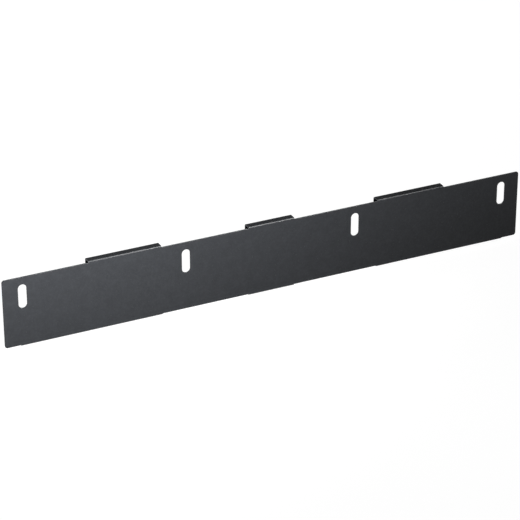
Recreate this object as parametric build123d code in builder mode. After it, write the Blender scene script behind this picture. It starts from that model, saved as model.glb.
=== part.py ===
from build123d import *
import os

# A cabinet base panel, folded from one blank of steel sheet. It closes the space under a server cabinet.
# X runs along the panel, +Y points to its back and +Z up. The origin is on the rear face of the plate,
# midway along the panel and level with the middle of its slots. All sizes are in millimetres.

# The sheet
sheet_thickness = 1.2
inside_bend_radius = 1.0
plate_corner_radius = 3.0
fold_corner_radius = 1.5
edge_break = 0.2

# Overall size, over the folds
panel_length = 600.0
panel_height = 80.0
fold_depth = 10.0

# How far the plain edges beside the folds stand back from the outside of the folds
top_edge_setback = 1.5
bottom_edge_setback = 1.5

# Upright slots for the fixing bolts: one pair about the middle, and one slot near each end
slot_width = 9.2
slot_length = 26.5
slot_centre_drop = 23.3
inner_slot_spacing = 197.0
outer_slot_end_margin = 21.5

# Hooks folded back from the top edge and flanges folded back from the bottom edge
middle_fold_width = 53.4
side_fold_start = 125.6
side_hook_width = 80.7
side_flange_end_margin = 17.7
lip_height = 10.0

# The outer slots and the side flanges keep their margins from the ends of the panel
outer_slot_spacing = panel_length - 2 * outer_slot_end_margin
side_flange_width = panel_length / 2 - side_flange_end_margin - side_fold_start

# Where the faces and edges lie
front_face = -sheet_thickness
back_of_folds = front_face + fold_depth
top_of_hooks = slot_centre_drop
underside = top_of_hooks - panel_height
plain_top = top_of_hooks - top_edge_setback
plain_bottom = underside + bottom_edge_setback
lip_bottom = top_of_hooks - lip_height

# All bends have the same radius, and each begins where the flat of the plate ends
outside_bend_radius = inside_bend_radius + sheet_thickness
top_bend_line = top_of_hooks - outside_bend_radius
bottom_bend_line = underside + outside_bend_radius

# The X of each fold's left end, and its width
middle_fold = (-middle_fold_width / 2, middle_fold_width)
hooks = [
    (-side_fold_start - side_hook_width, side_hook_width),
    middle_fold,
    (side_fold_start, side_hook_width),
]
flanges = [
    (-side_fold_start - side_flange_width, side_flange_width),
    middle_fold,
    (side_fold_start, side_flange_width),
]

# The outside of each fold as (Y, Z), from its root inside the plate to its free edge
root_depth = 2 * sheet_thickness
hook_section = [
    (front_face, top_bend_line - root_depth),
    (front_face, top_of_hooks),
    (back_of_folds, top_of_hooks),
    (back_of_folds, lip_bottom),
]
flange_section = [
    (front_face, bottom_bend_line + root_depth),
    (front_face, underside),
    (back_of_folds, underside),
]

slot_places = [
    (side * spacing / 2, 0)
    for spacing in (inner_slot_spacing, outer_slot_spacing)
    for side in (-1, 1)
]


def folded_strip(section, sheet_side, free_edge_way, left, width):
    with BuildPart() as strip:
        with BuildSketch(Plane.YZ.offset(left)):
            with BuildLine():
                FilletPolyline(*section, radius=outside_bend_radius)
                offset(amount=sheet_thickness, side=sheet_side)
            make_face()
        extrude(amount=width)
        free_edge = strip.faces().sort_by(free_edge_way)[-1]
        fillet(free_edge.edges().filter_by(Axis.X, reverse=True), radius=fold_corner_radius)
        # An edge broken on the flat of the fold is broken along the whole outline of the sheet
        flats = strip.faces().filter_by(Axis.Z).sort_by(SortBy.AREA)[-2:]
        chamfer(flats.edges().filter_by(Axis.Y), length=edge_break)
    return strip.part


strips = [folded_strip(hook_section, Side.RIGHT, -Axis.Z, left, width) for left, width in hooks]
strips += [folded_strip(flange_section, Side.LEFT, Axis.Y, left, width) for left, width in flanges]

with BuildPart() as base_panel:
    # The flat plate with its slots, and its sheared edges broken
    with BuildSketch(Plane.XZ):
        with Locations((0, (plain_top + plain_bottom) / 2)):
            RectangleRounded(panel_length, plain_top - plain_bottom, plate_corner_radius)
        with Locations(*slot_places):
            SlotOverall(slot_length, slot_width, rotation=90, mode=Mode.SUBTRACT)
    extrude(amount=sheet_thickness)
    chamfer(base_panel.faces().filter_by(Axis.Y).edges(), length=edge_break)

    # The plate ends at the bend lines where the sheet folds back
    with BuildSketch(Plane.XZ):
        for left, width in hooks:
            with Locations((left, top_bend_line)):
                Rectangle(width, outside_bend_radius, align=Align.MIN)
        for left, width in flanges:
            with Locations((left, bottom_bend_line)):
                Rectangle(width, outside_bend_radius, align=(Align.MIN, Align.MAX))
    extrude(amount=sheet_thickness, mode=Mode.SUBTRACT)

    add(strips)

base_panel.part.label = "base_panel"
os.makedirs("parts", exist_ok=True)
export_step(base_panel.part, "parts/base_panel.step")
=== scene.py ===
import bpy
from math import radians, sin
from mathutils import Matrix, Vector


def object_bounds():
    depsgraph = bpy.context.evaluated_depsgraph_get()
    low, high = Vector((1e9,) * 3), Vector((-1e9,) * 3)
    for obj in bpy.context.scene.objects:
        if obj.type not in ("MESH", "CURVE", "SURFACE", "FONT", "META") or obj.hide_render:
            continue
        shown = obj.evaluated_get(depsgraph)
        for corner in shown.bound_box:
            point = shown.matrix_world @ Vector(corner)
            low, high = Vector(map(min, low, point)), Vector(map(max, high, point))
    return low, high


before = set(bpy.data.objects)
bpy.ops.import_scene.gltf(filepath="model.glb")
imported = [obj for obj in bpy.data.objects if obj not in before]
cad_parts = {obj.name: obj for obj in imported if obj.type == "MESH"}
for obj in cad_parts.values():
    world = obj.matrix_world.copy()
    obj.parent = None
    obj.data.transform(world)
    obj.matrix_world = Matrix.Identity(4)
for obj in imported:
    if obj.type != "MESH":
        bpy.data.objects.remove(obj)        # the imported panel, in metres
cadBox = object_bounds()     # its box before it is dressed
print("panel loaded")


def linearColour(hexCode):  # from sRGB
    channels = [int(hexCode[place:place + 2], 16) / 255 for place in (1, 3, 5)]
    return [c / 12.92 if c <= 0.04045 else ((c + 0.055) / 1.055) ** 2.4 for c in channels] + [1.0]


def addNode(tree, kind, links=None, values=None, **settings):
    node = tree.nodes.new("ShaderNode" + kind)
    for name, setting in settings.items():
        setattr(node, name, setting)
    for socket, value in (values or {}).items():
        node.inputs[socket].default_value = value
    for socket, source in (links or {}).items():
        tree.links.new(source, node.inputs[socket])
    return node


def emptyMaterial(name):
    material = bpy.data.materials.new(name)
    material.use_nodes = True
    material.node_tree.nodes.clear()
    return material


# The panel: steel sheet, cut, folded and powder coated

coat = {
    "colour": "#383A3D",
    "pitColour": "#26272A",       # the coat looks deeper between the grains
    "grainMm": 2.4,               # the real grain is about 0.4 mm, drawn coarser so that it shows
    "grainDetail": 2.0,
    "grainRoughness": 0.55,       # how strongly the finer detail of the noise shows
    "grainHeightMm": 0.08,
    "waveMm": 10.0,               # slow waves where the powder flowed as it melted
    "waveDetail": 1.0,
    "waveRoughness": 0.4,
    "waveHeightMm": 0.06,
    "waveShare": 0.3,             # of the colour's unevenness, the rest is the grain's
    "satin": 0.22,                # roughness on top of a grain
    "satinSpread": 0.08,          # and how much more there is between the grains
    "specular": 0.12,             # the fine grain breaks up most of the gloss
    "ior": 1.5,                   # polyester resin
}


def powderCoatedSteel(coat):
    # Polyester powder melts to an even satin skin with a fine grain,
    # and hides the metal right round the edges
    material = emptyMaterial("powderCoatedSteel")
    tree = material.node_tree
    place = addNode(tree, "TexCoord").outputs["Object"]
    grain = addNode(
        tree, "TexNoise", {"Vector": place},
        {
            "Scale": 1000 / coat["grainMm"],
            "Detail": coat["grainDetail"], "Roughness": coat["grainRoughness"],
        },
    ).outputs["Fac"]
    wave = addNode(
        tree, "TexNoise", {"Vector": place},
        {
            "Scale": 1000 / coat["waveMm"],
            "Detail": coat["waveDetail"], "Roughness": coat["waveRoughness"],
        },
    ).outputs["Fac"]
    uneven = addNode(
        tree, "Mix", {"A": grain, "B": wave}, {"Factor": coat["waveShare"]}, data_type="FLOAT",
    ).outputs["Result"]
    colour = addNode(
        tree, "MixRGB", {"Fac": uneven},
        {"Color1": linearColour(coat["pitColour"]), "Color2": linearColour(coat["colour"])},
    ).outputs["Color"]
    roughness = addNode(
        tree, "MapRange", {"Value": grain},
        {"To Min": coat["satin"] + coat["satinSpread"], "To Max": coat["satin"]},
    ).outputs["Result"]
    waveBump = addNode(
        tree, "Bump", {"Height": wave},
        {"Strength": 1.0, "Distance": coat["waveHeightMm"] / 1000},
    ).outputs["Normal"]
    grainBump = addNode(
        tree, "Bump", {"Height": grain, "Normal": waveBump},
        {"Strength": 1.0, "Distance": coat["grainHeightMm"] / 1000},
    ).outputs["Normal"]
    shader = addNode(
        tree, "BsdfPrincipled",
        {"Base Color": colour, "Roughness": roughness, "Normal": grainBump},
        {"IOR": coat["ior"], "Metallic": 0.0, "Specular IOR Level": coat["specular"]},
    )
    addNode(tree, "OutputMaterial", {"Surface": shader.outputs["BSDF"]})
    return material


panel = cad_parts["base_panel"]
panel.material_slots[0].material = powderCoatedSteel(coat)
print("panel coated")


# The stage: a plain pale floor under the panel, and a plain surround that is white near the horizon

stage = {
    "floorSide": 12.0,
    "floorColour": "#D2D2D2",
    "floorGlow": 1.583,           # plain light, so bright that with the lit paper it comes out white
    "glowShare": 0.6,             # how much of the floor is that glow to the camera and reflections
    "surroundStrength": 0.1,      # the soft light that comes from all round
    "horizonStrength": 1.0,       # the white that only the camera and reflections see
    "whiteUpTo": 7.0,             # degrees above the horizon
    "softFrom": 16.0,
}


def seenDirectly(tree):
    # 1 for the camera, reflections and clear materials, 0 for the light that falls on things
    path = addNode(tree, "LightPath")
    direct = addNode(
        tree, "Math", {0: path.outputs["Is Camera Ray"], 1: path.outputs["Is Glossy Ray"]},
        operation="MAXIMUM",
    )
    return addNode(
        tree, "Math", {0: direct.outputs["Value"], 1: path.outputs["Is Transmission Ray"]},
        operation="MAXIMUM",
    ).outputs["Value"]


def paleFloor(stage):  # matt paper: it takes the panel's shadow, and looks white where nothing shades it
    material = emptyMaterial("matteWhitePaper")
    tree = material.node_tree
    share = addNode(
        tree, "Math", {0: seenDirectly(tree)}, {1: stage["glowShare"]}, operation="MULTIPLY",
    ).outputs["Value"]
    paper = addNode(tree, "BsdfDiffuse", values={"Color": linearColour(stage["floorColour"])})
    glow = addNode(tree, "Emission", values={"Strength": stage["floorGlow"]})
    both = addNode(
        tree, "MixShader", {0: share, 1: paper.outputs["BSDF"], 2: glow.outputs["Emission"]},
    )
    addNode(tree, "OutputMaterial", {"Surface": both.outputs["Shader"]})
    return material


def makeFloor(stage, height):
    half = stage["floorSide"] / 2
    corners = [(-half, -half, height), (half, -half, height), (half, half, height), (-half, half, height)]
    mesh = bpy.data.meshes.new("floor")
    mesh.from_pydata(corners, [], [(0, 1, 2, 3)])
    floor = bpy.data.objects.new("floor", mesh)
    mesh.materials.append(paleFloor(stage))
    bpy.context.scene.collection.objects.link(floor)
    return floor


def makeSurround(stage):
    world = bpy.data.worlds.new("surround")
    world.use_nodes = True
    tree = world.node_tree
    tree.nodes.clear()
    white = (1, 1, 1, 1)
    soft = addNode(
        tree, "Background", values={"Color": white, "Strength": stage["surroundStrength"]},
    )
    bright = addNode(
        tree, "Background", values={"Color": white, "Strength": stage["horizonStrength"]},
    )
    direction = addNode(tree, "TexCoord").outputs["Generated"]
    height = addNode(tree, "SeparateXYZ", {"Vector": direction}).outputs["Z"]
    fade = addNode(
        tree, "MapRange", {"Value": height},
        {
            "From Min": sin(radians(stage["whiteUpTo"])), "From Max": sin(radians(stage["softFrom"])),
            "To Min": 1.0, "To Max": 0.0,
        },
        interpolation_type="SMOOTHSTEP",
    ).outputs["Result"]
    share = addNode(
        tree, "Math", {0: seenDirectly(tree), 1: fade}, operation="MULTIPLY",
    ).outputs["Value"]
    both = addNode(
        tree, "MixShader", {0: share, 1: soft.outputs["Background"], 2: bright.outputs["Background"]},
    )
    addNode(tree, "OutputWorld", {"Surface": both.outputs["Shader"]})
    bpy.context.scene.world = world


panelBottom = cadBox[0].z
makeFloor(stage, panelBottom)
makeSurround(stage)
print("floor and surround made")


# The lamps, each a square soft box with its side in metres and its spread in degrees.
# The front one is feathered: its beam fades down the plate and along it. The high one is a narrow beam
# on the tops of the left and middle hooks, and the rear one lights the back

middle = (0, 0, -0.017)    # of the panel
lamps = {
    "front": {"place": (-0.43, -0.8, 0.2), "aim": (-0.25, 0, 0.5), "side": 0.2, "spread": 90, "watts": 11.9},
    "high": {"place": (-0.09, 0.35, 0.65), "aim": (-0.09, 0, 0.02), "side": 0.2, "spread": 48, "watts": 0.12},
    "rear": {"place": (-0.5, 1.0, 0.15), "aim": middle, "side": 0.5, "spread": 180, "watts": 10.0},
}
glints = {    # these two show only in gloss, and make the bright lines along the bends
    "glintLeft": {"place": (0.24, -0.5, 0.85), "aim": middle, "side": 0.6, "spread": 180, "watts": 37.0},
    "glintRight": {"place": (0.56, -0.5, 0.85), "aim": middle, "side": 0.6, "spread": 180, "watts": 9.5},
}


def aimedAt(place, aim):  # turns a lamp so that it shines from its place towards its aim
    place, aim = Vector(place), Vector(aim)
    return Matrix.Translation(place) @ (aim - place).to_track_quat("-Z", "Y").to_matrix().to_4x4()


def makeLamp(name, lamp):
    light = bpy.data.lights.new(name, "AREA")
    light.shape = "SQUARE"
    light.size = lamp["side"]
    light.spread = radians(lamp["spread"])
    light.energy = lamp["watts"]
    softBox = bpy.data.objects.new(name, light)
    softBox.matrix_world = aimedAt(lamp["place"], lamp["aim"])
    softBox.visible_camera = False
    bpy.context.scene.collection.objects.link(softBox)
    return softBox


for name, lamp in lamps.items():
    makeLamp(name, lamp)
bpy.data.objects["rear"].visible_glossy = False    # or the hooks mirror it when seen from the right
for name, lamp in glints.items():
    makeLamp(name, lamp).visible_diffuse = False
print("lamps set")


# The camera, where the edges of the panel in the photograph put it

view = {
    "place": (-0.993361, -2.045009, 1.128732),
    "forward": (0.385697, 0.804699, -0.451329),
    "up": (0.197104, 0.40602, 0.892355),
    "lensMm": 167.313,
    "sensorMm": 36.0,
    "nearest": 0.1,      # metres, and the farthest too
    "farthest": 50.0,
}


def makeCamera(view):
    lens = bpy.data.cameras.new("camera")
    lens.lens = view["lensMm"]
    lens.sensor_width = view["sensorMm"]
    lens.clip_start = view["nearest"]
    lens.clip_end = view["farthest"]
    camera = bpy.data.objects.new("camera", lens)
    back = -Vector(view["forward"])
    up = Vector(view["up"])
    turn = Matrix((up.cross(back), up, back)).transposed().to_4x4()
    camera.matrix_world = Matrix.Translation(view["place"]) @ turn
    bpy.context.scene.collection.objects.link(camera)
    return camera


scene = bpy.context.scene
scene.camera = makeCamera(view)
scene.view_settings.view_transform = "Standard"
print("camera set")
